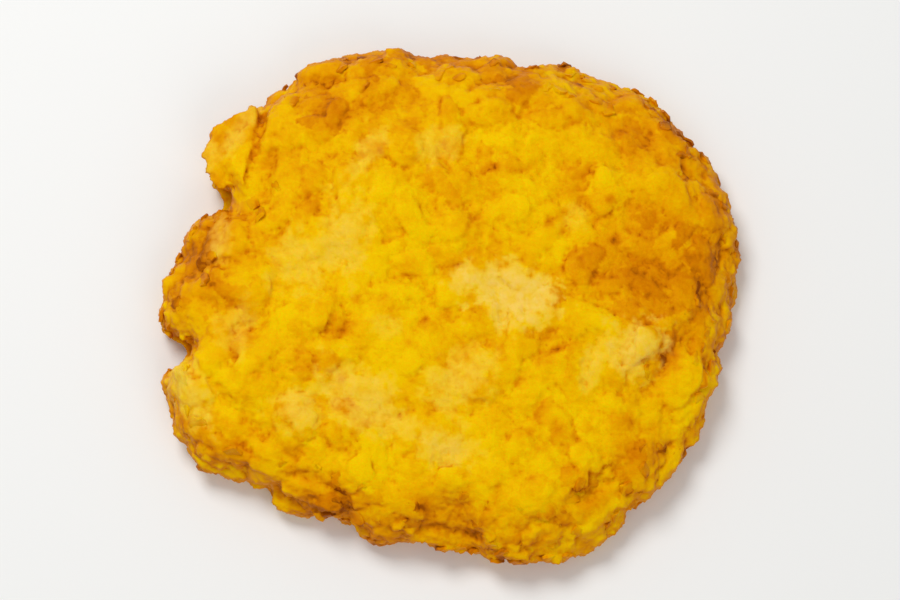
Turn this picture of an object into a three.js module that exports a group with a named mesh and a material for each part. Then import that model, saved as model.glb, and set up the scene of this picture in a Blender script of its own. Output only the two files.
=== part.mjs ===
// Potato rosti: one pan-fried patty of coarse potato pieces, pressed by hand, so that its rim is uneven
// and torn in places. Its skin is lumpy, and the underside is flat where it lay in the pan.
//
// Millimetres, +Z up. The origin is the middle of the footprint, on the surface that the patty rests on.
// +X is to the right and -Y to the front of the patty as it is served.
import * as THREE from "three";
import { mergeVertices } from "three/addons/utils/BufferGeometryUtils.js";
import { ImprovedNoise } from "three/addons/math/ImprovedNoise.js";

// Driving dimensions.
const patty = {
  width: 98, // of the plain oval, before its lobes and lumps
  depth: 89,
  thickness: 12.2, // from the pan face to the middle of the top, before its lumps
};
const netDetail = 22; // the skin has 20 * (netDetail + 1)^2 triangles
const pressedRadius = 14; // the middle of the underside, which is quite flat
const panRecess = 0.8; // how far the rest of the underside may draw back from the pan

// The cross-section, from the middle of the top out round the rim to the middle of the underside:
// the share of the way out to the rim, and the share of the thickness.
const crossSection = new THREE.SplineCurve(
  [
    [0, 1],
    [0.35, 1.02],
    [0.64, 1.0],
    [0.82, 0.92],
    [0.92, 0.76],
    [0.985, 0.54],
    [1, 0.34],
    [0.98, 0.14],
    [0.93, 0.02],
    [0.85, 0],
    [0.45, 0],
    [0, 0],
  ].map(([out, up]) => new THREE.Vector2(out, up)),
);
const underside = 0.04; // the share of the thickness below which the skin faces the pan

// Lobes (out above 0) and torn notches (out below 0) of the rim: where they are, counted in degrees
// from +X towards +Y, how far they stand out of the oval, and how wide they are.
const rimLobes = [
  { at: 27, out: 5.0, spread: 15 },
  { at: 51, out: 2.6, spread: 11 },
  { at: 120, out: 3.0, spread: 15 },
  { at: 147, out: 2.0, spread: 5 },
  { at: 156, out: -5.2, spread: 2.6 },
  { at: 165, out: -2.4, spread: 6 },
  { at: 188, out: 1.4, spread: 9 },
  { at: 190, out: -5.4, spread: 2.2 },
  { at: 206, out: 3.8, spread: 11 },
  { at: 243, out: -2.4, spread: 9 },
  { at: 268, out: -1.8, spread: 8 },
  { at: 297, out: 4.8, spread: 12 },
  { at: 325, out: 2.2, spread: 6 },
];

// Potato pieces that stand out of the top by themselves: their middle, length, width, turn in degrees
// and height. A height below 0 is a hollow between pieces.
const topPieces = [
  { x: -7, y: -10, length: 17, width: 15, turn: 60, height: 1.2 },
  { x: 11.5, y: -9.5, length: 10, width: 8, turn: 0, height: 1.1 },
  { x: -23, y: -11, length: 14, width: 10, turn: -25, height: 1.1 },
  { x: -36, y: -16.5, length: 13, width: 8, turn: -12, height: 1.6 },
  { x: -27, y: -22.5, length: 10, width: 8, turn: 0, height: 1.7 },
  { x: -15.5, y: -33, length: 12, width: 9, turn: -20, height: 1.8 },
  { x: -5.5, y: -35, length: 9, width: 8, turn: 0, height: 1.6 },
  { x: 4, y: -34, length: 9, width: 8, turn: 0, height: 1.7 },
  { x: 15, y: -37, length: 12, width: 8, turn: 20, height: 1.8 },
  { x: 38, y: 20, length: 14, width: 8, turn: -4, height: 1.6 },
  { x: 28, y: 26.5, length: 7, width: 6, turn: 50, height: 1.2 },
  { x: 28.5, y: 19.5, length: 7, width: 6, turn: 0, height: 1.5 },
  { x: 31, y: -8, length: 12, width: 8, turn: 60, height: 1.2 },
  { x: -39, y: 25, length: 16, width: 8, turn: 75, height: 1.4 },
  { x: 39.5, y: -11.5, length: 20, width: 5.5, turn: 55, height: -1.5 },
  { x: 25.5, y: -34.5, length: 11, width: 5, turn: 35, height: -1.6 },
  { x: -33, y: 21.5, length: 17, width: 4.4, turn: 80, height: -1.7 },
];

// Pieces strewn evenly over the whole skin, and the slower unevenness of a patty pressed by hand.
const strewnPieces = {
  count: 260,
  length: [7, 16],
  width: [5.5, 9.5],
  height: [0.4, 1.5],
  rimHeight: [0.2, 2.3], // on the rim, where nothing pressed them flat
  depth: 5, // how far a piece reaches into the patty, half of it
  jitter: 0.5, // of the distance between neighbours
  seed: 23,
};
const unevenness = [
  { size: 22, height: 0.6 },
  { size: 6, height: 0.3 },
  { size: 3, height: 0.2 },
];

const mix = THREE.MathUtils.lerp;
const ramp = THREE.MathUtils.smoothstep;
const upwards = new THREE.Vector3(0, 0, 1);
const meanRadius = (patty.width + patty.depth) / 4;

function seededRandom(seed) {
  let state = seed;
  return () => {
    state = (state * 1664525 + 1013904223) % 4294967296;
    return state / 4294967296;
  };
}

// How far the rim is from the middle, in the direction of an angle.
function rimRadius(angle) {
  const oval = 1 / Math.hypot(Math.cos(angle) / (patty.width / 2), Math.sin(angle) / (patty.depth / 2));
  return rimLobes.reduce((radius, lobe) => {
    const degrees = THREE.MathUtils.radToDeg(angle) - lobe.at;
    const away = THREE.MathUtils.euclideanModulo(degrees + 180, 360) - 180;
    return radius + lobe.out * Math.exp(-0.5 * (away / lobe.spread) ** 2);
  }, oval);
}

// The cross-section in even steps, each with the share of the skin's area that lies before it. The
// underside counts for less and the rim for more, so that the triangles are fine where most shows.
function stepsOfSection(count = 240) {
  const steps = crossSection.getSpacedPoints(count).map(({ x, y }) => ({ out: x, up: y, area: 0 }));
  for (let i = 1; i < steps.length; i++) {
    const [a, b] = [steps[i - 1], steps[i]];
    const length = Math.hypot((b.out - a.out) * meanRadius, (b.up - a.up) * patty.thickness);
    const emphasis = b.up < underside ? 0.6 : b.out > 0.85 ? 1.5 : 1;
    b.area = a.area + length * (a.out + b.out) * emphasis;
  }
  const whole = steps.at(-1).area;
  steps.forEach((step) => (step.area /= whole));
  return steps;
}
const sectionSteps = stepsOfSection();

// The first place on the cross-section, from the top, where "out" or "area" comes to a value.
function sectionAt(key, value) {
  const next = Math.max(1, sectionSteps.findIndex((step) => step[key] >= value));
  const [a, b] = [sectionSteps[next - 1], sectionSteps[next]];
  const share = (value - a[key]) / (b[key] - a[key]);
  return { out: mix(a.out, b.out, share), up: mix(a.up, b.up, share) };
}

// A place on the plain skin. The middle of the patty is round, and the rim follows its lobes.
function onSkin({ out, up }, angle) {
  const radius = out * mix(meanRadius, rimRadius(angle), ramp(out, 0.2, 0.85));
  return new THREE.Vector3(radius * Math.cos(angle), radius * Math.sin(angle), up * patty.thickness);
}

// The place on the plain skin that a direction from the middle of a ball comes to, area for area.
function skinFromBall(direction) {
  return onSkin(sectionAt("area", (1 - direction.z) / 2), Math.atan2(direction.y, direction.x));
}

// A piece has a middle on the skin, and three axes that measure a distance in its own half sizes.
function potatoPiece(middle, outward, turn, length, width, height) {
  const facing = new THREE.Quaternion().setFromUnitVectors(upwards, outward);
  const axis = (x, y, z, half) => new THREE.Vector3(x, y, z).applyQuaternion(facing).divideScalar(half);
  return {
    middle,
    height,
    along: axis(Math.cos(turn), Math.sin(turn), 0, length / 2),
    across: axis(-Math.sin(turn), Math.cos(turn), 0, width / 2),
    through: axis(0, 0, 1, strewnPieces.depth),
  };
}

function placedPieces() {
  return topPieces.map(({ x, y, length, width, turn, height }) => {
    const angle = Math.atan2(y, x);
    const { up } = sectionAt("out", Math.min(0.9, Math.hypot(x, y) / rimRadius(angle)));
    const middle = new THREE.Vector3(x, y, up * patty.thickness);
    return potatoPiece(middle, upwards, THREE.MathUtils.degToRad(turn), length, width, height);
  });
}

// Pieces spread over a ball on a golden spiral, each moved a little at random, and put on the skin.
function scatteredPieces() {
  const { count, jitter, seed, length, width, height, rimHeight } = strewnPieces;
  const random = seededRandom(seed);
  const draw = ([low, high]) => mix(low, high, random());
  const spacing = Math.sqrt((4 * Math.PI) / count);
  const goldenAngle = Math.PI * (3 - Math.sqrt(5));
  return Array.from({ length: count }, (_, i) => {
    const z = 1 - (2 * (i + 0.5)) / count;
    const ring = Math.sqrt(1 - z * z);
    const nudge = new THREE.Vector3(random() - 0.5, random() - 0.5, random() - 0.5);
    const direction = new THREE.Vector3(ring * Math.cos(i * goldenAngle), ring * Math.sin(i * goldenAngle), z)
      .addScaledVector(nudge, 2 * jitter * spacing)
      .normalize();
    const middle = skinFromBall(direction);
    const level = middle.z / patty.thickness - 0.45;
    const rimShare = 1 - ramp(Math.abs(level), 0.25, 0.5);
    const outward = new THREE.Vector3(middle.x, middle.y, 0).normalize().multiplyScalar(rimShare);
    outward.z = (1 - rimShare) * Math.sign(level);
    const rise = mix(draw(height), draw(rimHeight), rimShare);
    return potatoPiece(middle, outward.normalize(), random() * Math.PI, draw(length), draw(width), rise);
  });
}

// How far a piece lifts the skin at a point: a cushion over its oval.
function lift(piece, point) {
  const away = point.clone().sub(piece.middle);
  const distance = Math.hypot(away.dot(piece.along), away.dot(piece.across), away.dot(piece.through));
  return distance < 1 ? piece.height * (1 - distance ** 3) : 0;
}

const noise = new ImprovedNoise();
function slowWave({ x, y, z }) {
  const far = 31.7; // off the noise's own lattice, so that it isn't 0 all along the axes
  return unevenness.reduce(
    (sum, { size, height }) => sum + height * noise.noise(x / size + far, y / size + far, z / size + far),
    0,
  );
}

// The skin starts as an even net on a ball. It takes the patty's plain form, is lifted along its
// normals by the highest piece over each point, and is pressed flat where it lay in the pan.
function pattyGeometry() {
  const ball = new THREE.IcosahedronGeometry(1, netDetail);
  ball.deleteAttribute("normal");
  ball.deleteAttribute("uv");
  const geometry = mergeVertices(ball, 1e-4);
  const position = geometry.attributes.position;
  const plain = [];
  for (let i = 0; i < position.count; i++) {
    plain.push(skinFromBall(new THREE.Vector3().fromBufferAttribute(position, i).normalize()));
    position.setXYZ(i, ...plain[i]);
  }
  geometry.computeVertexNormals();

  const placed = placedPieces();
  const scattered = scatteredPieces();
  const normal = new THREE.Vector3();
  plain.forEach((point, i) => {
    normal.fromBufferAttribute(geometry.attributes.normal, i);
    const own = placed.map((piece) => lift(piece, point));
    const highest = Math.max(0, ...own, ...scattered.map((piece) => lift(piece, point)));
    let rise = highest + Math.min(0, ...own) + slowWave(point);
    if (point.z < underside * patty.thickness) {
      rise = (rise - panRecess) * ramp(Math.hypot(point.x, point.y), pressedRadius, 2 * pressedRadius);
    }
    const lifted = point.clone().addScaledVector(normal, rise);
    position.setXYZ(i, lifted.x, lifted.y, Math.max(0, lifted.z));
  });

  geometry.computeBoundingBox();
  const middle = geometry.boundingBox.getCenter(new THREE.Vector3());
  return geometry.translate(-middle.x, -middle.y, 0);
}

const friedPotato = new THREE.MeshStandardMaterial({ color: 0xe4a80c, roughness: 0.55, metalness: 0 });
const rosti = new THREE.Mesh(pattyGeometry(), friedPotato);
rosti.name = "rosti";

const group = new THREE.Group();
group.add(rosti);
export default group;
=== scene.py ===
import math
import random

import bpy
import numpy as np
from mathutils import Matrix, Vector, noise
from mathutils.bvhtree import BVHTree


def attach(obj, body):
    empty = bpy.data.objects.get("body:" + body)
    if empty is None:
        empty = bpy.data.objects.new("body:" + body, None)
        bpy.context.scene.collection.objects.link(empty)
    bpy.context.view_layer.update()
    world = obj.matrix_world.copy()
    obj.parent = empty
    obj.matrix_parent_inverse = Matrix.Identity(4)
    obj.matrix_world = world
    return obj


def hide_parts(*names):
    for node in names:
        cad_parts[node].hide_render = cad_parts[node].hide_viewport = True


# One potato rosti, fried in a pan. A rough crust of grated and diced potato is grown out of the packed
# solid, and crisp scraps stand along its rim. It lies on a plain pale floor in soft studio light.
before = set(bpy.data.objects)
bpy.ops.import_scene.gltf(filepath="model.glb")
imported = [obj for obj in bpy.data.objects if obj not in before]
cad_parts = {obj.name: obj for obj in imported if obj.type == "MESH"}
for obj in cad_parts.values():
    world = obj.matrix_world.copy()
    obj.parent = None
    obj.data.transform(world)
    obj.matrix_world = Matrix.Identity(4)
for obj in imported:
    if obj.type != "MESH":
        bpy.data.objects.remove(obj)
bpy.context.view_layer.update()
mm = 0.001

# Other seeds give another rosti of the same make.
seeds = {"pieces": 7, "layers": 11, "tones": 5, "waver": 8, "scraps": 29}


# Selects these objects and nothing else, with the last one active.
def pick(*objects):
    bpy.ops.object.select_all(action="DESELECT")
    for each in objects:
        each.select_set(True)
    bpy.context.view_layer.objects.active = objects[-1]


def useModifier(piece, kind, **settings):
    modifier = piece.modifiers.new(kind.lower(), kind)
    for key, value in settings.items():
        setattr(modifier, key, value)
    pick(piece)
    bpy.ops.object.modifier_apply(modifier=modifier.name)


# Each round of smoothing takes a corner half way to the middle of its neighbours.
def soften(piece, rounds):
    useModifier(piece, "SMOOTH", factor=0.5, iterations=rounds)


def renamed(piece, name):
    piece.name = name
    piece.data.name = name
    return piece


def copyOf(piece):
    other = piece.copy()
    other.data = piece.data.copy()
    bpy.context.scene.collection.objects.link(other)
    return other


# Diced chunks, grated shreds, slivers and crumbs of potato, in millimetres. A few of each are modelled, and
# these are copied all over the patty.
pieceKinds = {
    "chunk": {"kinds": 7, "length": (7, 11), "width": (5.5, 8), "height": (3, 3.6), "uneven": 1.7},
    "shred": {"kinds": 7, "length": (10, 18), "width": (2.6, 3.8), "height": (2, 2.6), "uneven": 0.5},
    "sliver": {"kinds": 5, "length": (4, 8), "width": (2, 3.2), "height": (1.6, 2.2), "uneven": 0.5},
    "crumb": {"kinds": 5, "length": (1.6, 3.2), "width": (1.4, 2.6), "height": (1.2, 2.0), "uneven": 0.5},
}
# The cuts across each side of a block, how round it gets, and the most that a shred or sliver curls in its
# own plane, in degrees.
shaping = {"cuts": 2, "crumbCuts": 1, "roundness": 0.6, "curl": 45}


def modelPiece(kind, number, draw):
    make = pieceKinds[kind]
    size = [draw.uniform(*make[side]) * mm for side in ("length", "width", "height")]
    cuts = shaping["crumbCuts"] if kind == "crumb" else shaping["cuts"]
    bpy.ops.object.select_all(action="DESELECT")
    bpy.ops.mesh.primitive_cube_add(size=1)
    piece = renamed(bpy.context.object, f"{kind}{number}")
    bpy.ops.object.mode_set(mode="EDIT")
    bpy.ops.transform.resize(value=size)
    bpy.ops.mesh.subdivide(number_cuts=cuts, smoothness=shaping["roundness"])
    bpy.ops.transform.vertex_random(offset=make["uneven"] * mm, seed=number + 1)
    bpy.ops.object.mode_set(mode="OBJECT")
    useModifier(piece, "SUBSURF", levels=1, render_levels=1)
    if kind in ("shred", "sliver"):
        curl = math.radians(draw.uniform(-shaping["curl"], shaping["curl"]))
        useModifier(piece, "SIMPLE_DEFORM", deform_method="BEND", deform_axis="Z", angle=curl)
    return piece


# Crisp scraps are thin ragged sheets, crumpled a little. The flake is a large one that is half torn off at
# the back left, with straight torn edges between its corners. The kernel is a small lump on the right of the
# face. Sizes in millimetres, and no other piece lies within "free" of these two.
scrap = {
    "kinds": 12, "length": (2.6, 5.4), "width": (1.6, 3), "thick": 0.8, "cuts": (6, 3), "ragged": 0.8,
    "crumpled": 0.8, "round": 0.5, "smoothing": 2, "corners": [],
}
flake = {
    "kinds": 1, "length": (22, 22), "width": (12, 12), "thick": 2.2, "cuts": (22, 12), "ragged": 0.9,
    "crumpled": 1.8, "round": 0.1, "smoothing": 1,
    "corners": [(9.2, -1.5), (2.1, 4.8), (-5.5, 3.6), (-8.8, -1.3), (-3.8, -5.2)],
    "x": -39.4, "y": 27.8, "turn": 71, "tilt": -0.22, "size": (1, 1, 1), "proud": 0.7, "free": 6,
}
kernel = {"x": 27.6, "y": 20.9, "turn": 65, "tilt": 0, "size": (0.6, 0.62, 0.8), "proud": 0.8, "free": 3.6}
crumple = 2.5  # the size of one crumple, in millimetres


def modelSheet(name, make, number, draw):
    bpy.ops.object.select_all(action="DESELECT")
    bpy.ops.mesh.primitive_grid_add(x_subdivisions=make["cuts"][0], y_subdivisions=make["cuts"][1], size=1)
    sheet = renamed(bpy.context.object, f"{name}{number}")
    bpy.ops.object.mode_set(mode="EDIT")
    bpy.ops.transform.resize(value=(draw.uniform(*make["length"]) * mm, draw.uniform(*make["width"]) * mm, 1))
    corners = [Vector((x * mm, y * mm, 0)) for x, y in make["corners"]]
    for start, end in zip(corners, corners[1:] + corners[:1]):
        bpy.ops.mesh.select_all(action="SELECT")
        outwards = (end - start).cross(Vector((0, 0, 1))).normalized()
        bpy.ops.mesh.bisect(plane_co=start, plane_no=outwards, clear_outer=True)
    bpy.ops.mesh.select_mode(type="VERT")
    bpy.ops.mesh.select_all(action="DESELECT")
    bpy.ops.mesh.select_non_manifold()
    bpy.ops.transform.vertex_random(offset=make["ragged"] * mm, seed=number + 1)
    bpy.ops.object.mode_set(mode="OBJECT")
    useModifier(sheet, "CAST", cast_type="CYLINDER", factor=make["round"], use_z=False)
    texture = bpy.data.textures.new(f"crumple{number}", "CLOUDS")
    texture.noise_scale = crumple * mm
    useModifier(sheet, "DISPLACE", texture=texture, direction="Z", strength=make["crumpled"] * mm)
    useModifier(sheet, "SOLIDIFY", thickness=make["thick"] * mm, offset=0)
    soften(sheet, make["smoothing"])
    return sheet


def modelPieces():
    draw = random.Random(seeds["pieces"])
    models = {
        kind: [modelPiece(kind, number, draw) for number in range(make["kinds"])]
        for kind, make in pieceKinds.items()
    }
    for name, make in (("scrap", scrap), ("flake", flake)):
        models[name] = [modelSheet(name, make, number, draw) for number in range(make["kinds"])]
    return models


# How near corners are welded, how fine the skin is fused the first and the second time (millimetres), and
# how many rounds of smoothing it then gets.
crust = {"weld": 0.01, "firstVoxel": 0.5, "voxel": 0.42, "smoothing": 2}


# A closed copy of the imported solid, softened once, that everything is set into.
def plainPatty():
    patty = renamed(bpy.data.objects.new("crust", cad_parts["rosti"].data.copy()), "crust")
    bpy.context.scene.collection.objects.link(patty)
    patty.data.materials.clear()
    pick(patty)
    bpy.ops.object.mode_set(mode="EDIT")
    bpy.ops.mesh.select_all(action="SELECT")
    bpy.ops.mesh.remove_doubles(threshold=crust["weld"] * mm)
    bpy.ops.object.mode_set(mode="OBJECT")
    useModifier(patty, "SUBSURF", levels=1, render_levels=1)
    return patty


def arrayOf(collection, key, width):
    values = np.empty(len(collection) * width, np.float32)
    collection.foreach_get(key, values)
    return values.reshape(-1, width).astype(float)


def skinOf(piece):
    return arrayOf(piece.data.vertices, "co", 3), arrayOf(piece.data.vertex_normals, "vector", 3)


# How far a spot is from the middle of the flake, in half lengths of the flake, seen from above.
def onFlake(place):
    away = np.hypot(place[..., 0] / mm - flake["x"], place[..., 1] / mm - flake["y"])
    return away / flake["length"][0] * 2


# The parts of the patty's surface: how far up they face (1 is straight up), from where to where, how high
# they lie at least (millimetres) and how far from the middle of the flake (in its half lengths).
zones = {
    "face": {"facing": (0.75, 2), "above": -1, "fromFlake": 0},
    "rim": {"facing": (-0.6, 0.75), "above": 1.5, "fromFlake": 0},
    "under": {"facing": (-2, -0.6), "above": -1, "fromFlake": 0},
    "edge": {"facing": (-0.2, 0.85), "above": 2.5, "fromFlake": 1},
}
triesPerSpot = 40  # places drawn for each spot, before a layer makes do with fewer


def inZone(zone, place, normal):
    least, most = zone["facing"]
    facing = least < normal.z <= most
    return facing and place.z > zone["above"] * mm and onFlake(np.array(place)) >= zone["fromFlake"]


# Spots spread over a zone, no nearer to each other than "apart", each with its normal.
def spotsOn(surface, zone, count, apart, draw):
    places, normals = skinOf(surface)
    faces = surface.data.polygons
    chances = np.cumsum(arrayOf(faces, "area", 1))
    chosen = []
    for attempt in range(count * triesPerSpot):
        face = faces[int(np.searchsorted(chances, draw.random() * chances[-1]))]
        corners = list(face.vertices)
        shares = np.array([draw.random() for corner in corners])
        shares /= shares.sum()
        place = Vector(shares @ places[corners])
        normal = Vector(shares @ normals[corners]).normalized()
        if inZone(zone, place, normal) and all((place - other[0]).length > apart for other in chosen):
            chosen.append((place, normal))
        if len(chosen) == count:
            break
    return chosen


# The nearest faces of a closed surface, to find its skin from a spot near it.
def treeOf(piece):
    corners = [vertex.co for vertex in piece.data.vertices]
    return BVHTree.FromPolygons(corners, [face.vertices for face in piece.data.polygons])


# The level direction round the patty at a spot, turned by an angle about the normal.
def alongAt(place, normal, turn):
    level = Vector((-place.y, place.x, 0)).cross(normal).cross(normal).normalized()
    return Matrix.Rotation(turn, 3, normal) @ level


# A copy of a piece laid at a spot with its length in this direction, sunk until "proud" of it stands out.
def layOn(model, place, normal, along, size, proud):
    piece = copyOf(model)
    along = (along - normal * along.dot(normal)).normalized()
    facing = Matrix((along, normal.cross(along), normal)).transposed().to_4x4()
    depth = model.dimensions.z / 2 * size[2] - proud
    piece.matrix_world = Matrix.Translation(place - normal * depth) @ facing @ Matrix.Diagonal((*size, 1))
    return piece


# How far the ends of a piece with its length in this direction would poke out of the surface.
def endsPoke(tree, model, place, along):
    reach = along * model.dimensions.x / 2
    poke = 0
    for end in (place + reach, place - reach):
        skin, outward = tree.find_nearest(end)[:2]
        poke = max(poke, (end - skin).dot(outward))
    return poke


# What lies on the fried face, round the rim and under the patty: how many of each kind, how far apart,
# how far they stand out (millimetres), how far they turn from the level line (degrees) and how they tilt.
layers = {
    "face": [
        {"kind": "chunk", "count": 95, "apart": 6.0, "proud": (0.1, 0.7), "turn": 180, "tilt": 9},
        {"kind": "shred", "count": 70, "apart": 5.5, "proud": (0.3, 0.9), "turn": 180, "tilt": 4},
        {"kind": "sliver", "count": 90, "apart": 4.0, "proud": (0.3, 0.8), "turn": 180, "tilt": 8},
        {"kind": "crumb", "count": 130, "apart": 2.5, "proud": (0.2, 0.6), "turn": 180, "tilt": 12},
    ],
    "rim": [
        {"kind": "chunk", "count": 40, "apart": 6.5, "proud": (0.1, 0.9), "turn": 40, "tilt": 12},
        {"kind": "shred", "count": 40, "apart": 6.0, "proud": (0.2, 0.9), "turn": 30, "tilt": 8},
        {"kind": "sliver", "count": 110, "apart": 3.2, "proud": (0.1, 0.8), "turn": 40, "tilt": 14},
        {"kind": "crumb", "count": 360, "apart": 1.8, "proud": (0, 0.8), "turn": 180, "tilt": 25},
    ],
    "under": [
        {"kind": "chunk", "count": 70, "apart": 7.0, "proud": (0, 0.25), "turn": 180, "tilt": 2},
        {"kind": "shred", "count": 70, "apart": 5.0, "proud": (0.05, 0.3), "turn": 180, "tilt": 2},
        {"kind": "crumb", "count": 90, "apart": 3.5, "proud": (0.1, 0.3), "turn": 180, "tilt": 5},
    ],
}
# The range of the copies' sizes, and how many ways each is tried in until its ends poke out by less than
# "poke". The skin is looked for from "over" a spot to "depth" below that, and from "high" up for the flake
# and the kernel. Millimetres.
fitting = {"size": (0.8, 1.15), "ways": 6, "poke": 1.2, "over": 5, "depth": 9, "high": 30}

# The torn gaps between pieces stay free: each runs from one spot to another (millimetres, seen from
# above) and is so wide and deep.
gaps = [
    {"from": (-41.5, 19.2), "to": (-60, 21), "width": 2.8, "depth": 1.9},
    {"from": (-47, -8.8), "to": (-60, -9.8), "width": 2.5, "depth": 1.5},
    {"from": (-36, 20.5), "to": (-34, 34), "width": 0.9, "depth": 0.9},
    {"from": (-5, -42.4), "to": (5, -43.4), "width": 1.2, "depth": 1.0},
    {"from": (-36, -32), "to": (-24, -37.2), "width": 1.1, "depth": 0.6},
    {"from": (-47, -12.4), "to": (-33, -25.8), "width": 1.0, "depth": 0.5},
]
# Pieces stay this many of a gap's widths away from it, and clear of the flake and the kernel above this
# height. Gaps are torn where the surface faces up by more than "facing", so not in the underside.
clearance = {"widths": 1.3, "height": 4, "facing": -0.2}


# How far each spot is from a gap, in its own widths, seen from above.
def awayFrom(gap, places):
    start, end = (np.array(gap[side]) * mm for side in ("from", "to"))
    flat = np.atleast_2d(places)[:, :2]
    share = np.clip((flat - start) @ (end - start) / ((end - start) @ (end - start)), 0, 1)
    return np.linalg.norm(flat - start - share[:, None] * (end - start), axis=1) / (gap["width"] * mm)


# Whether a spot is clear of the gaps and of the pieces that have a place of their own.
def isClear(place):
    for own in (flake, kernel):
        away = math.hypot(place.x / mm - own["x"], place.y / mm - own["y"])
        if away < own["free"] and place.z > clearance["height"] * mm:
            return False
    return min(awayFrom(gap, place)[0] for gap in gaps) > clearance["widths"]


# Lays one layer of pieces. Spots are chosen on the plain patty, and the pieces are set into the skin.
def layPieces(layer, zone, patty, plainTree, skinTree, models, draw):
    laid = []
    spots = spotsOn(patty, zones[zone], layer["count"], layer["apart"] * mm, draw)
    lean = math.sin(math.radians(layer["tilt"]))
    most = math.radians(layer["turn"])
    for place, normal in spots:
        model = draw.choice(models[layer["kind"]])
        size = [draw.uniform(*fitting["size"]) for side in range(3)]
        tilted = Vector([axis + draw.uniform(-lean, lean) for axis in normal]).normalized()
        proud = draw.uniform(*layer["proud"]) * mm
        ways = [alongAt(place, normal, draw.uniform(-most, most)) for attempt in range(fitting["ways"])]
        skin = skinTree.ray_cast(place + normal * fitting["over"] * mm, -normal, fitting["depth"] * mm)[0]
        if skin is None or not isClear(place):
            continue
        ways = [along for along in ways if endsPoke(plainTree, model, place, along) < fitting["poke"] * mm]
        if ways:
            laid.append(layOn(model, skin, tilted, ways[0], size, proud))
    return laid


# Lays a piece that has a place of its own, sloping down towards the rim by its tilt.
def layOwn(own, model, tree):
    over = Vector((own["x"] * mm, own["y"] * mm, fitting["high"] * mm))
    place = tree.ray_cast(over, Vector((0, 0, -1)))[0]
    outward = Vector((place.x, place.y, 0)).normalized()
    upward = (Vector((0, 0, 1)) - own["tilt"] * outward).normalized()
    along = Matrix.Rotation(math.radians(own["turn"]), 3, "Z") @ Vector((1, 0, 0))
    return layOn(model, place, upward, along, own["size"], own["proud"] * mm)


# Joins the pieces into one mesh that remembers, face by face, which piece it came from.
def joined(piece, laid):
    for number, each in enumerate([piece, *laid]):
        owner = each.data.attributes.new("owner", "INT", "FACE")
        owner.data.foreach_set("value", [number] * len(each.data.polygons))
    pick(*laid, piece)
    bpy.ops.object.join()
    piece.data.update()
    return arrayOf(piece.data.attributes["owner"].data, "value", 1)[:, 0].astype(int)


def fuse(piece, voxel):
    pick(piece)
    piece.data.remesh_voxel_size = voxel * mm
    bpy.ops.object.voxel_remesh()
    soften(piece, crust["smoothing"])
    print("fused the crust,", len(piece.data.polygons), "faces")


# Lays the pieces on the patty and fuses all into one skin. It returns the joined pieces as they were
# before the fusing, to look up which piece a spot of the crust belongs to.
def growCrust(patty, models):
    draw = random.Random(seeds["layers"])
    tree = treeOf(patty)
    laid = [layOwn(flake, models["flake"][0], tree), layOwn(kernel, models["chunk"][0], tree)]
    for zone, kinds in layers.items():
        for layer in kinds:
            laid += layPieces(layer, zone, patty, tree, tree, models, draw)
    print("laid", len(laid), "pieces of potato on the patty")
    owners = joined(patty, laid)
    loose = treeOf(patty)
    fuse(patty, crust["firstVoxel"])
    return loose, owners


# Random patterns, from about -1 to 1, with features of about "size" millimetres. Each seed shifts a pattern
# by so many steps, and each octave after the first is finer and fainter.
patterns = {
    "brokenCreases": {"size": 4, "seed": 9, "octaves": 1},
    "broad": {"size": 12, "seed": 1, "octaves": 2},
    "fine": {"size": 3.0, "seed": 2, "octaves": 3},
    "flecks": {"size": 1.5, "seed": 3, "octaves": 3},
    "scrapRelief": {"size": 0.8, "seed": 6, "octaves": 1},
    "scrapMottle": {"size": 1.5, "seed": 7, "octaves": 2},
}
seedStep = (17.3, 5.1, 0)
octave = {"faint": 0.7, "finer": 2}


def noiseAt(places, pattern):
    shift = Vector([pattern["seed"] * step for step in seedStep])
    spots = [Vector(place) / (pattern["size"] * mm) + shift for place in places]
    if pattern["octaves"] == 1:
        return np.array([noise.noise(spot) for spot in spots])
    faint, finer = octave["faint"], octave["finer"]
    return np.array([noise.fractal(spot, faint, finer, pattern["octaves"]) for spot in spots])


# How high each spot stands above the skin around it. "Reach" counts rounds of smoothing.
def standOut(piece, reach):
    smooth = copyOf(piece)
    soften(smooth, reach)
    places, normals = skinOf(piece)
    height = ((places - skinOf(smooth)[0]) * normals).sum(axis=1)
    bpy.data.objects.remove(smooth)
    return height


def moveTo(piece, places):
    piece.data.vertices.foreach_set("co", places.astype(np.float32).ravel())
    piece.data.update()


def moveAlongNormals(piece, distances):
    places, normals = skinOf(piece)
    moveTo(piece, places + normals * distances[:, None])


# How much of each spot belongs to a side of the patty, from 0 to 1: a start, and a slope by how far up the
# spot faces.
sides = {
    "pressed": (-0.8, 2),
    "fried": (0.6, 2),
    "crumblyRim": (1.25, -1.4),
    "aboveFloor": (1.7, 2),
    # Steep sides are browner: partly the real browner rim, partly painted shade on the shaded slopes.
    "rimBrowningAndShade": (1.5, -1.6),
    "under": (-0.6, -2),
}


def shareOf(side, normals):
    start, slope = sides[side]
    return np.clip(start + slope * normals[:, 2], 0, 1)


# The spatula presses what stands out of the fried face nearly flat, and closes the deepest dips. This much
# of both is left, in millimetres. The flake stays proud, up to a fifth of its half length from its ends.
pressing = {"reach": 140, "left": 0.4, "rimLeft": 1.4, "flakeLeft": 2.0, "flakeEdge": 5, "dip": 0.6}


def pressFlat(piece):
    places, normals = skinOf(piece)
    height = standOut(piece, pressing["reach"])
    onTorn = np.clip(pressing["flakeEdge"] - pressing["flakeEdge"] * onFlake(places), 0, 1)
    left = pressing["rimLeft"] + (pressing["left"] - pressing["rimLeft"]) * shareOf("pressed", normals)
    left += (pressing["flakeLeft"] - left) * onTorn
    left = np.where(height > 0, left, pressing["dip"]) * mm
    moveAlongNormals(piece, left * np.tanh(height / left) - height)


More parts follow.
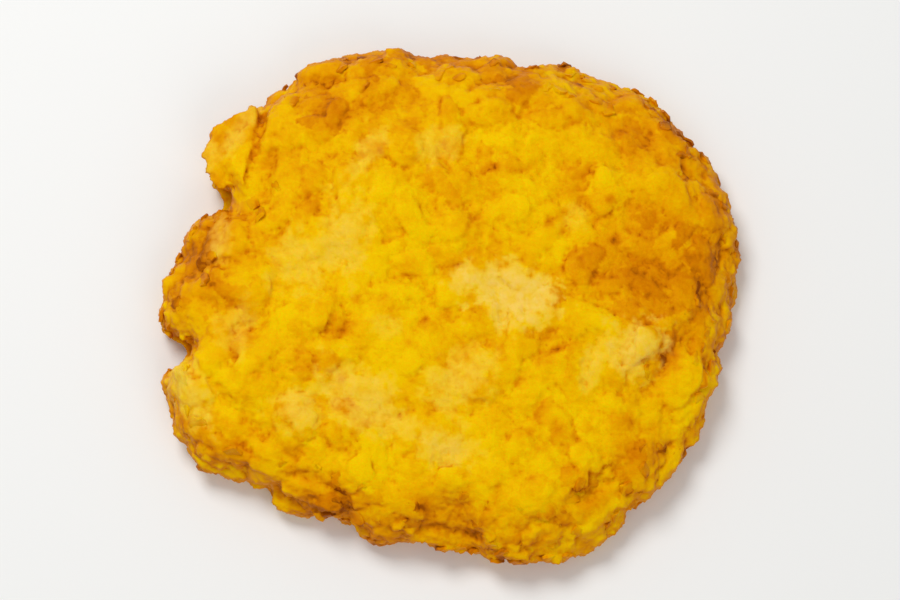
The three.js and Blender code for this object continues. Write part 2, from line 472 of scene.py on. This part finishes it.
def tearGaps(piece):
    places, normals = skinOf(piece)
    depth = np.zeros(len(places))
    for gap in gaps:
        depth = np.maximum(depth, gap["depth"] * mm * np.exp(-awayFrom(gap, places) ** 2))
    moveAlongNormals(piece, -depth * (normals[:, 2] > clearance["facing"]))


# Deepens the narrow creases where two pieces meet, in millimetres. A pattern makes them deeper here and
# fainter there, around a usual share, and a steep side keeps a smaller share of them.
creases = {"reach": 8, "from": 0.05, "gain": 2.6, "most": 0.6, "usual": 0.6, "broken": 0.9, "steep": 0.6}


def deepenCreases(piece):
    sunk = np.clip(-standOut(piece, creases["reach"]) / mm - creases["from"], 0, 1) * creases["gain"]
    places, normals = skinOf(piece)
    share = np.clip(creases["usual"] + creases["broken"] * noiseAt(places, patterns["brokenCreases"]), 0, 1)
    share *= np.clip(np.abs(normals[:, 2]) + creases["steep"], 0, 1)
    moveAlongNormals(piece, -np.minimum(sunk, creases["most"]) * share * mm)


# The crust is smooth where the pan pressed it and crumbly in the hollows and round the rim: waves of
# these sizes in millimetres, with their heights on the pressed face, in its hollows and round the rim.
crumble = [
    {"size": 4.5, "face": 0, "hollow": 0, "rim": 0.6, "seed": 0, "octaves": 2},
    {"size": 2.0, "face": 0.08, "hollow": 0.32, "rim": 0.4, "seed": 1, "octaves": 3},
    {"size": 0.9, "face": 0.05, "hollow": 0.3, "rim": 0.32, "seed": 2, "octaves": 2},
]
# A spot level with the skin around it is this much of a hollow, and less with each millimetre it stands out.
hollows = {"reach": 30, "level": 0.45, "slope": -3.5}


def crumbleCrust(piece):
    places, normals = skinOf(piece)
    height = standOut(piece, hollows["reach"]) / mm
    hollow = np.clip(hollows["level"] + hollows["slope"] * height, 0, 1)
    rim = shareOf("crumblyRim", normals) * shareOf("aboveFloor", normals)
    distances = np.zeros(len(places))
    for each in crumble:
        rise = np.maximum((each["hollow"] - each["face"]) * hollow, (each["rim"] - each["face"]) * rim)
        distances += (each["face"] + rise) * noiseAt(places, each)
    moveAlongNormals(piece, distances * mm)


# Where the patty lay in the pan it is pressed flat, with only the dips between its pieces left. What was
# lower than this many millimetres is squeezed into that height.
panContact = 0.6


def settleInPan(piece):
    places = skinOf(piece)[0]
    low = places[:, 2] < panContact * mm
    over = places[low, 2] / mm - panContact
    places[low, 2] = panContact * np.exp(over / panContact) * mm
    moveTo(piece, places)


# Thins out the faces of the underside, which needs fewer than what shows, until this share of all faces is
# left. The underside faces down by more than "facing", and "weight" keeps the thinning to it.
thinning = {"facing": -0.7, "left": 0.68, "weight": 10}


def thinUnderside(piece):
    facing = skinOf(piece)[1][:, 2]
    group = piece.vertex_groups.new(name="underside")
    group.add([int(number) for number in np.flatnonzero(facing < thinning["facing"])], 1, "REPLACE")
    useModifier(piece, "DECIMATE", ratio=thinning["left"], vertex_group="underside",
                vertex_group_factor=thinning["weight"])
    piece.vertex_groups.clear()
    print("thinned the crust to", sum(len(face.vertices) - 2 for face in piece.data.polygons), "triangles")


models = modelPieces()
patty = plainPatty()
plain = copyOf(patty)
loose, owners = growCrust(patty, models)
pressFlat(patty)
tearGaps(patty)
deepenCreases(patty)
fuse(patty, crust["voxel"])
crumbleCrust(patty)
settleInPan(patty)
thinUnderside(patty)


# Where the face is browned more, where it is pale, bare potato and where it stayed yellow. One small brown
# patch is painted shade on a notch wall, and one yellow patch is painted light on a shaded rim. Each patch is
# an oval in millimetres, from the middle of the patty, turned by degrees from +X towards +Y.
brownPatches = [
    {"x": 40, "y": 4.5, "length": 28, "width": 20, "turn": 85, "depth": 0.95},
    {"x": 36, "y": 31, "length": 26, "width": 14, "turn": -45, "depth": 0.64},
    {"x": 3, "y": 42, "length": 36, "width": 13, "turn": -8, "depth": 0.62},
    {"x": -17, "y": 39.6, "length": 32, "width": 15, "turn": 10, "depth": 0.76},
    {"x": -44, "y": 6.2, "length": 20, "width": 13, "turn": 80, "depth": 0.76},
    {"x": -27.5, "y": -11, "length": 17, "width": 8.5, "turn": 20, "depth": 0.34},
    {"x": -31.8, "y": 27, "length": 17, "width": 7, "turn": 85, "depth": 0.7},
    {"x": -6, "y": -39, "length": 12, "width": 8, "turn": 0, "depth": 0.85},
    {"x": 39.5, "y": -10, "length": 18, "width": 6, "turn": 62, "depth": 0.85},
    {"x": 9, "y": -42.6, "length": 18, "width": 6, "turn": -5, "depth": 0.62},
    {"x": 32.5, "y": -28.5, "length": 10, "width": 8, "turn": 60, "depth": 0.7},
    {"x": 25, "y": -37, "length": 8, "width": 5.5, "turn": 20, "depth": 0.7},
    {"x": -22, "y": -37.2, "length": 18, "width": 7, "turn": -15, "depth": 0.6},
    {"x": -40, "y": -26.9, "length": 16, "width": 5, "turn": -45, "depth": 0.35},
    {"x": 19, "y": -1, "length": 12, "width": 8, "turn": 60, "depth": 0.35},
    {"x": 3, "y": 20.7, "length": 16, "width": 8, "turn": 0, "depth": 0.32},
    {"x": 21.5, "y": 19.5, "length": 11, "width": 8, "turn": -20, "depth": 0.35},
    {"x": 14, "y": -10, "length": 15, "width": 8, "turn": 0, "depth": 0.18},
    {"x": 11, "y": 17, "length": 10, "width": 9, "turn": 0, "depth": 0.15},
    # This patch browns the wall of the notch under the flake, where shade falls: painted shade.
    {"x": -42.8, "y": 20, "length": 6, "width": 3.6, "turn": 10, "depth": 0.85},
]
palePatches = [
    {"x": 10.5, "y": -0.4, "length": 12.5, "width": 8.5, "turn": -20, "depth": 1},
    {"x": 2.4, "y": 2.6, "length": 5, "width": 4.5, "turn": 0, "depth": 0.75},
    {"x": -19, "y": 9.8, "length": 12, "width": 7, "turn": 80, "depth": 0.36},
    {"x": -27, "y": 5.2, "length": 9, "width": 9, "turn": 0, "depth": 0.28},
    {"x": -2, "y": 26.9, "length": 8, "width": 5, "turn": 10, "depth": 0.18},
    {"x": -15, "y": 24.8, "length": 10, "width": 4, "turn": 65, "depth": 0.24},
    {"x": 32.8, "y": -9.8, "length": 8.5, "width": 8.2, "turn": 50, "depth": 0.6},
    {"x": 25, "y": -13.4, "length": 8, "width": 3.4, "turn": 80, "depth": 0.3},
    {"x": -15, "y": -20.3, "length": 14, "width": 8, "turn": -30, "depth": 0.4},
    {"x": 1.5, "y": -16.1, "length": 11, "width": 8, "turn": 30, "depth": 0.28},
    {"x": -1, "y": -28.5, "length": 9, "width": 6.5, "turn": -30, "depth": 0.42},
    {"x": -26.5, "y": -21.7, "length": 8, "width": 6, "turn": 0, "depth": 0.34},
    {"x": -38, "y": -6.6, "length": 8, "width": 5, "turn": 80, "depth": 0.2},
    {"x": -46.6, "y": -16.5, "length": 13, "width": 5, "turn": -65, "depth": 0.42},
    {"x": -37.8, "y": 31, "length": 13, "width": 3, "turn": 62, "depth": 0.22},
    {"x": -43.6, "y": 25, "length": 9, "width": 2.4, "turn": 80, "depth": 0.22},
    {"x": -41, "y": 10.3, "length": 9, "width": 3.4, "turn": 75, "depth": 0.3},
    {"x": 22, "y": 13.4, "length": 5, "width": 3.5, "turn": 60, "depth": 0.1},
    {"x": -11, "y": -6.2, "length": 5, "width": 4, "turn": 0, "depth": 0.16},
]
yellowPatches = [
    {"x": -9, "y": -10, "length": 17, "width": 13, "turn": 60, "depth": 0.6},
    {"x": 11, "y": -10, "length": 11, "width": 9, "turn": 0, "depth": 0.3},
    {"x": -14, "y": -32, "length": 12, "width": 10, "turn": -15, "depth": 0.25},
    {"x": 1, "y": -32, "length": 10, "width": 10, "turn": 0, "depth": 0.55},
    {"x": 20, "y": -31, "length": 13, "width": 9, "turn": 20, "depth": 0.5},
    {"x": -37.5, "y": -17, "length": 14, "width": 8, "turn": -12, "depth": 0.6},
    {"x": 38, "y": -19.5, "length": 13, "width": 8, "turn": 52, "depth": 1},
    {"x": -4, "y": 33, "length": 14, "width": 8, "turn": 0, "depth": 0.25},
    {"x": -21, "y": 5, "length": 18, "width": 11, "turn": 80, "depth": 0.75},
    {"x": 14, "y": 27, "length": 16, "width": 8, "turn": 0, "depth": 0.3},
    {"x": 49.5, "y": -8, "length": 22, "width": 5, "turn": 80, "depth": 0.6},
    {"x": 19, "y": -22, "length": 10, "width": 8, "turn": 0, "depth": 0.3},
    # This patch makes the steep rim at the back right yellower, to lift the shade that falls there: painted
    # light.
    {"x": 42, "y": 19, "length": 12, "width": 7, "turn": -60, "depth": 0.6},
    {"x": -35, "y": 18.5, "length": 16, "width": 9, "turn": 0, "depth": 0.45},
    {"x": 0, "y": 11, "length": 10, "width": 8, "turn": 0, "depth": 0.35},
]


# How soft the edges of the patches are, and how ragged the fine pattern and the flecks make them.
edges = {
    "brown": {"soft": 0.9, "ragged": 0.5, "flecked": 0},
    "yellow": {"soft": 0.6, "ragged": 0.4, "flecked": 0},
    "pale": {"soft": 0.4, "ragged": 0.75, "flecked": 0.6},
}


# How deep each place lies in the ovals, from 0 at their soft edges to each one's own depth.
def insideOf(patches, edge, places, fine, flecks):
    soft = edge["soft"]
    ragged = edge["ragged"] * fine + edge["flecked"] * flecks
    deepest = np.zeros(len(places))
    x, y = places[:, 0] / mm, places[:, 1] / mm
    for patch in patches:
        turn = math.radians(patch["turn"])
        along = (x - patch["x"]) * math.cos(turn) + (y - patch["y"]) * math.sin(turn)
        across = (y - patch["y"]) * math.cos(turn) - (x - patch["x"]) * math.sin(turn)
        distance = np.hypot(along / patch["length"] * 2, across / patch["width"] * 2) + ragged
        inside = np.clip((1 + soft - distance) / soft / 2, 0, 1)
        deepest = np.maximum(deepest, patch["depth"] * inside)
    return deepest


def addValues(piece, name, values):
    attribute = piece.data.attributes.new(name, "FLOAT", "POINT")
    attribute.data.foreach_set("value", np.ascontiguousarray(values, np.float32))


# How much each cause browns the crust. The whole runs from 0 (bright yellow) to 1 (deep brown), and above
# "ease" it is eased off, by "room" at most. Besides real browning, the hollow and rim terms are partly
# painted shade, and the crease term and the least browning on the rim are painted shade.
browningAndShade = {
    "base": 0.22, "patch": 0.6, "yellow": 0.22, "pale": 0.7, "broad": 0.2, "mottle": 0.25, "piece": 0.37,
    "hollow": 0.42, "creaseShade": 1.5, "rim": 0.36, "shadedRimLeast": 0.3, "underside": 0.36, "ease": 0.6, "room": 0.35,
}
# How far lumps, hollows and creases count for the browning, and from what depth a crease does, in
# millimetres. Browner hollows and yellower lumps are partly painted shade, and browner creases are painted
# shade. Reaches in rounds of smoothing.
relief = {"reach": 60, "lump": -0.5, "hollow": 0.8, "creaseReach": 6, "shallow": 0.02, "creaseShade": 0.2}
# How pale the bare potato is, with its flecks, and how fast it fades into a crease, which is painted shade.
bare = {"usual": 0.88, "flecked": 0.9, "least": 0.3, "most": 1.1, "creaseShadeFade": 4}
# The tones of the crumb between the pieces, the flake and the kernel, which were joined first, and the size
# of the wavers and the reach in the looking up of any piece, in millimetres.
pieceTones = {"between": 0.4, "flake": 0.9, "kernel": 0.1, "waver": 2.5, "reach": 3}
# Small dark specks on the fried face, in millimetres from its middle.
specks = [
    (8, 22.7), (29.3, 9.3), (17.6, 12.4), (-16.5, -1.7), (-7.3, -9.6), (-4.4, -5.3), (-42.3, 1.3),
    (-19, -16.1), (18.4, -10.7), (-12.5, 26), (28.7, 16.9), (-5, -38.8),
]
speck = {"radius": 0.9, "depth": 0.5, "ragged": 0.6}


# The tone of the piece that each place belongs to, from 0 to 1, looked up in the pieces before fusing. The
# looking up wavers by about 1 mm, because browning is never as sharp as the pieces' edges.
def tonesAt(places, normals, loose, owners):
    draw = random.Random(seeds["tones"])
    tones = np.array([draw.random() for owner in range(owners.max() + 1)])
    tones[:3] = pieceTones["between"], pieceTones["flake"], pieceTones["kernel"]
    noise.seed_set(seeds["waver"])  # noise_vector would otherwise be seeded by the clock
    found = np.empty(len(places))
    for number, (place, normal) in enumerate(zip(places, normals)):
        waver = noise.noise_vector(Vector(place) / (pieceTones["waver"] * mm))
        outside = Vector(place) + (Vector(normal) + waver) * mm
        face = loose.ray_cast(outside, -Vector(normal), pieceTones["reach"] * mm)[2]
        found[number] = tones[owners[face]] if face is not None else tones[0]
    return found


def addSpecks(cookedAndShaded, places, normals, fine):
    for x, y in specks:
        away = np.hypot(places[:, 0] - x * mm, places[:, 1] - y * mm) / (speck["radius"] * mm)
        cookedAndShaded += speck["depth"] * np.exp(-((away + speck["ragged"] * fine) ** 2)) * (normals[:, 2] > 0)


# Works out how far each place of the crust is cooked, with painted shade in its creases, hollows and steep
# slopes added in, and how bare it is. The patches lie on the fried face and run over its rim.
def cookAndShadeCrust(piece, loose, owners):
    places, normals = skinOf(piece)
    fried, under = shareOf("fried", normals), shareOf("under", normals)
    rim = shareOf("rimBrowningAndShade", normals) * (1 - under)
    broad, fine, flecks = (noiseAt(places, patterns[name]) for name in ("broad", "fine", "flecks"))
    height = standOut(piece, relief["reach"]) / mm
    # How deep each place lies in a crease, which sets the painted shade there.
    creaseShade = np.clip(-standOut(piece, relief["creaseReach"]) / mm, 0, 1)
    cookedAndShaded = browningAndShade["base"] + browningAndShade["broad"] * broad + browningAndShade["mottle"] * fine
    cookedAndShaded += browningAndShade["patch"] * insideOf(brownPatches, edges["brown"], places, fine, flecks) * fried
    cookedAndShaded -= browningAndShade["yellow"] * insideOf(yellowPatches, edges["yellow"], places, fine, flecks) * fried
    cookedAndShaded += browningAndShade["piece"] * (tonesAt(places, normals, loose, owners) - 0.5)
    # Browner in the hollows and yellower on the lumps: partly the batter between the pieces, which fries
    # more, and partly painted shade.
    cookedAndShaded += browningAndShade["hollow"] * np.clip(-height, relief["lump"], relief["hollow"])
    # Browner in the creases: painted shade.
    cookedAndShaded += browningAndShade["creaseShade"] * np.clip(creaseShade - relief["shallow"], 0, relief["creaseShade"])
    # Browner on the rim and the steep slopes: partly the real browner rim, partly painted shade that turns
    # shaded slopes orange; the least browning there is painted shade alone.
    cookedAndShaded += browningAndShade["rim"] * rim + np.clip(browningAndShade["shadedRimLeast"] - cookedAndShaded, 0, 1) * rim
    cookedAndShaded += browningAndShade["underside"] * under * (1 + broad)
    eased = browningAndShade["ease"] + browningAndShade["room"] * np.tanh((cookedAndShaded - browningAndShade["ease"]) / browningAndShade["room"])
    cookedAndShaded = np.where(cookedAndShaded > browningAndShade["ease"], eased, cookedAndShaded)
    addSpecks(cookedAndShaded, places, normals, fine)
    pale = insideOf(palePatches, edges["pale"], places, fine, flecks) * fried
    pale *= np.clip(bare["usual"] + bare["flecked"] * flecks, bare["least"], bare["most"])
    cookedAndShaded -= browningAndShade["pale"] * pale
    addValues(piece, "cookedAndShaded", cookedAndShaded)
    # The bare potato fades out in the creases: painted shade.
    addValues(piece, "pale", pale * np.clip(1 - creaseShade * bare["creaseShadeFade"], 0, 1))
    print("cooked the crust,", [round(float(share), 2) for share in np.percentile(cookedAndShaded, (5, 50, 95))])


cookAndShadeCrust(patty, loose, owners)

# Thin scraps that crisped up and stand out of the rim, and how much more cooked and more bare each is than
# the crust below it. They are uneven by so many millimetres, and mottled.
scrapLayer = {"kind": "scrap", "count": 300, "apart": 2.4, "proud": (-0.15, 0.35), "turn": 60, "tilt": 14}
scrapTones = {"cookedAndShaded": (0.02, 0.2), "pale": (-0.5, 0)}
scrapSkin = {"uneven": 0.15, "mottle": 0.15}


def addScraps(plain, skin, models):
    draw = random.Random(seeds["scraps"])
    plainTree, skinTree = treeOf(plain), treeOf(skin)
    laid = layPieces(scrapLayer, "edge", plain, plainTree, skinTree, models, draw)
    scraps = renamed(laid[0], "crispScraps")
    owners = joined(scraps, laid[1:])
    bpy.ops.object.transform_apply(location=True, rotation=True, scale=True)
    places = skinOf(scraps)[0]
    moveAlongNormals(scraps, scrapSkin["uneven"] * noiseAt(places, patterns["scrapRelief"]) * mm)
    settleInPan(scraps)
    nearest = [skinTree.find_nearest(Vector(place))[2] for place in places]
    below = [skin.data.polygons[face].vertices[0] for face in nearest]
    owner = np.zeros(len(places), int)
    for face in scraps.data.polygons:
        owner[list(face.vertices)] = owners[face.index]
    mottle = scrapSkin["mottle"] * noiseAt(places, patterns["scrapMottle"])
    for name, most in scrapTones.items():
        tones = np.array([draw.uniform(*most) for number in range(owners.max() + 1)])
        values = arrayOf(skin.data.attributes[name].data, "value", 1)[:, 0]
        addValues(scraps, name, values[below] + tones[owner] + mottle)
    print("laid", len(laid), "crisp scraps,", len(scraps.data.polygons), "faces")
    return scraps


scraps = addScraps(plain, patty, models)
for spare in [plain, *(piece for kind in models.values() for piece in kind)]:
    bpy.data.objects.remove(spare)


def linear(hexColour):
    shares = [int(hexColour[i : i + 2], 16) / 255 for i in (1, 3, 5)]
    return [s / 12.92 if s <= 0.04045 else ((s + 0.055) / 1.055) ** 2.4 for s in shares] + [1]


# Adds a node with its settings and links. A link is (socket, other node, the other's output).
def addNode(tree, kind, settings=None, values=None, links=None):
    node = tree.nodes.new(kind)
    for key, value in (settings or {}).items():
        setattr(node, key, value)
    for socket, value in (values or {}).items():
        node.inputs[socket].default_value = value
    for socket, (other, output) in (links or {}).items():
        tree.links.new(other.outputs[output], node.inputs[socket])
    return node


# Fried potato: bright yellow where it is barely cooked, golden, orange and brown where it fried longer,
# with pale bare potato in patches, a grain of tiny blisters and a dull sheen of oil. The same ramp also
# colours the painted shade in creases, hollows and steep slopes. Its flesh lets light through, the more the
# less it is browned. Sizes and heights in millimetres.
potato = {
    "cookedAndShaded": [(0.0, "#f3c602"), (0.28, "#eeb401"), (0.52, "#e59a01"), (0.76, "#d47c01"), (1.0, "#964b03")],
    "pale": "#f5ce5e",
    "grain": {"size": 0.8, "share": 0.27, "detail": 4, "rough": 0.65},
    "blister": {"size": 1.3, "height": 0.16, "smooth": 0.6},
    "crumb": {"size": 0.5, "height": 0.22, "detail": 3, "rough": 0.6},
    "bump": 0.6,
    "oil": {"size": 4, "detail": 3, "from": 0.35, "to": 0.65, "roughness": (0.3, 0.5), "tint": "#ffc94a",
            "specular": 0.07},
    "glow": {"yellow": 0.4, "brown": 0.05, "from": 0.15, "to": 0.8, "reach": 1.0, "colours": (1, 0.45, 0.12)},
}


def colourPotato(tree, shader, spot, cookedAndShaded):
    make = potato["grain"]
    pale = addNode(tree, "ShaderNodeAttribute", {"attribute_name": "pale"})
    grain = addNode(tree, "ShaderNodeTexNoise", None,
                    {"Scale": 1 / (make["size"] * mm), "Detail": make["detail"], "Roughness": make["rough"]},
                    spot)
    centred = addNode(tree, "ShaderNodeMath", {"operation": "SUBTRACT"}, {1: 0.5}, {0: (grain, "Fac")})
    grained = addNode(tree, "ShaderNodeMath", {"operation": "MULTIPLY_ADD"}, {1: make["share"]},
                      {0: (centred, "Value"), 2: (cookedAndShaded, "Fac")})
    golden = addNode(tree, "ShaderNodeValToRGB", None, None, {"Fac": (grained, "Value")})
    stops = golden.color_ramp.elements
    for share, colour in potato["cookedAndShaded"][1:-1]:
        stops.new(share)
    for stop, (share, colour) in zip(stops, potato["cookedAndShaded"]):
        stop.color = linear(colour)
    mixed = addNode(tree, "ShaderNodeMix", {"data_type": "RGBA"}, None,
                    {"Factor": (pale, "Fac"), "A": (golden, "Color")})
    mixed.inputs["B"].default_value = linear(potato["pale"])
    tree.links.new(mixed.outputs["Result"], shader.inputs["Base Color"])


def blisterPotato(tree, shader, spot):
    make = potato["blister"]
    cells = addNode(tree, "ShaderNodeTexVoronoi", {"feature": "SMOOTH_F1"},
                    {"Scale": 1 / (make["size"] * mm), "Smoothness": make["smooth"]}, spot)
    blisters = addNode(tree, "ShaderNodeBump", {"invert": True},
                       {"Strength": potato["bump"], "Distance": make["height"] * mm},
                       {"Height": (cells, "Distance")})
    make = potato["crumb"]
    crumbs = addNode(tree, "ShaderNodeTexNoise", None,
                     {"Scale": 1 / (make["size"] * mm), "Detail": make["detail"], "Roughness": make["rough"]},
                     spot)
    rough = addNode(tree, "ShaderNodeBump", None,
                    {"Strength": potato["bump"], "Distance": make["height"] * mm},
                    {"Height": (crumbs, "Fac"), "Normal": (blisters, "Normal")})
    tree.links.new(rough.outputs["Normal"], shader.inputs["Normal"])


def oilPotato(tree, shader, spot):
    make = potato["oil"]
    oil = addNode(tree, "ShaderNodeTexNoise", None,
                  {"Scale": 1 / (make["size"] * mm), "Detail": make["detail"]}, spot)
    dull = addNode(tree, "ShaderNodeMapRange", None,
                   {"From Min": make["from"], "From Max": make["to"], "To Min": make["roughness"][0],
                    "To Max": make["roughness"][1]}, {"Value": (oil, "Fac")})
    tree.links.new(dull.outputs["Result"], shader.inputs["Roughness"])
    shader.inputs["Specular IOR Level"].default_value = make["specular"]
    shader.inputs["Specular Tint"].default_value = linear(make["tint"])


def glowPotato(tree, shader, cookedAndShaded):
    make = potato["glow"]
    flesh = addNode(tree, "ShaderNodeMapRange", None,
                    {"From Min": make["from"], "From Max": make["to"], "To Min": make["yellow"],
                     "To Max": make["brown"]}, {"Value": (cookedAndShaded, "Fac")})
    tree.links.new(flesh.outputs["Result"], shader.inputs["Subsurface Weight"])
    shader.inputs["Subsurface Radius"].default_value = make["colours"]
    shader.inputs["Subsurface Scale"].default_value = make["reach"] * mm


def makePotato():
    material = bpy.data.materials.new("friedPotato")
    material.use_nodes = True
    tree = material.node_tree
    shader = tree.nodes["Principled BSDF"]
    spot = {"Vector": (addNode(tree, "ShaderNodeTexCoord"), "Object")}
    cookedAndShaded = addNode(tree, "ShaderNodeAttribute", {"attribute_name": "cookedAndShaded"})
    colourPotato(tree, shader, spot, cookedAndShaded)
    blisterPotato(tree, shader, spot)
    oilPotato(tree, shader, spot)
    glowPotato(tree, shader, cookedAndShaded)
    return material


# The crust is smooth all over, and the scraps keep edges sharper than this many degrees.
sharpest = {"crust": 180, "crispScraps": 50}
friedPotato = makePotato()
for piece in (patty, scraps):
    piece.data.materials.clear()
    piece.data.materials.append(friedPotato)
    pick(piece)
    bpy.ops.object.shade_smooth_by_angle(angle=math.radians(sharpest[piece.name]))
    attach(piece, "root")
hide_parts("rosti")

# The studio in metres: a pale, matt floor, a bright room, a broad key light from behind and a weak fill. The
# camera looks at "aim" above the floor.
studio = {
    "floor": {"size": 4, "colour": "#f2f2f0", "roughness": 0.6},
    "room": 0.455,
    "key": {"place": (-0.25, 0.35, 0.7), "size": 0.4, "power": 3.65},
    "fill": {"place": (0.3, -0.65, 0.5), "size": 0.6, "power": 1.4},
    "camera": {"elevation": 76, "distance": 0.65, "lens": 145, "aim": 0.006},
}


def makeFloor(size, colour, roughness):
    bpy.ops.object.select_all(action="DESELECT")
    bpy.ops.mesh.primitive_plane_add(size=size)
    floor = renamed(bpy.context.object, "floor")
    material = bpy.data.materials.new("paleFloor")
    material.use_nodes = True
    shader = material.node_tree.nodes["Principled BSDF"]
    shader.inputs["Base Color"].default_value = linear(colour)
    shader.inputs["Roughness"].default_value = roughness
    floor.data.materials.append(material)


def makeRoom(brightness):
    world = bpy.data.worlds.new("room")
    bpy.context.scene.world = world
    world.use_nodes = True
    world.node_tree.nodes["Background"].inputs["Color"].default_value = (1, 1, 1, 1)
    world.node_tree.nodes["Background"].inputs["Strength"].default_value = brightness


def makeLight(name, place, size, power):
    light = bpy.data.lights.new(name, "AREA")
    light.shape = "DISK"
    light.size = size
    light.energy = power
    lamp = bpy.data.objects.new(name, light)
    bpy.context.scene.collection.objects.link(lamp)
    lamp.location = place
    lamp.rotation_euler = (-Vector(place)).to_track_quat("-Z", "Y").to_euler()


def makeCamera(elevation, distance, lens, aim):
    camera = bpy.data.objects.new("camera", bpy.data.cameras.new("camera"))
    bpy.context.scene.collection.objects.link(camera)
    bpy.context.scene.camera = camera
    camera.data.lens = lens
    raised = math.radians(elevation)
    away = Vector((0, -math.cos(raised), math.sin(raised)))
    camera.location = Vector((0, 0, aim)) + away * distance
    camera.rotation_euler = (-away).to_track_quat("-Z", "Y").to_euler()


makeFloor(**studio["floor"])
makeLight("key", **studio["key"])
makeLight("fill", **studio["fill"])
makeRoom(studio["room"])
makeCamera(**studio["camera"])
bpy.context.scene.view_settings.view_transform = "Standard"
print("made the studio")
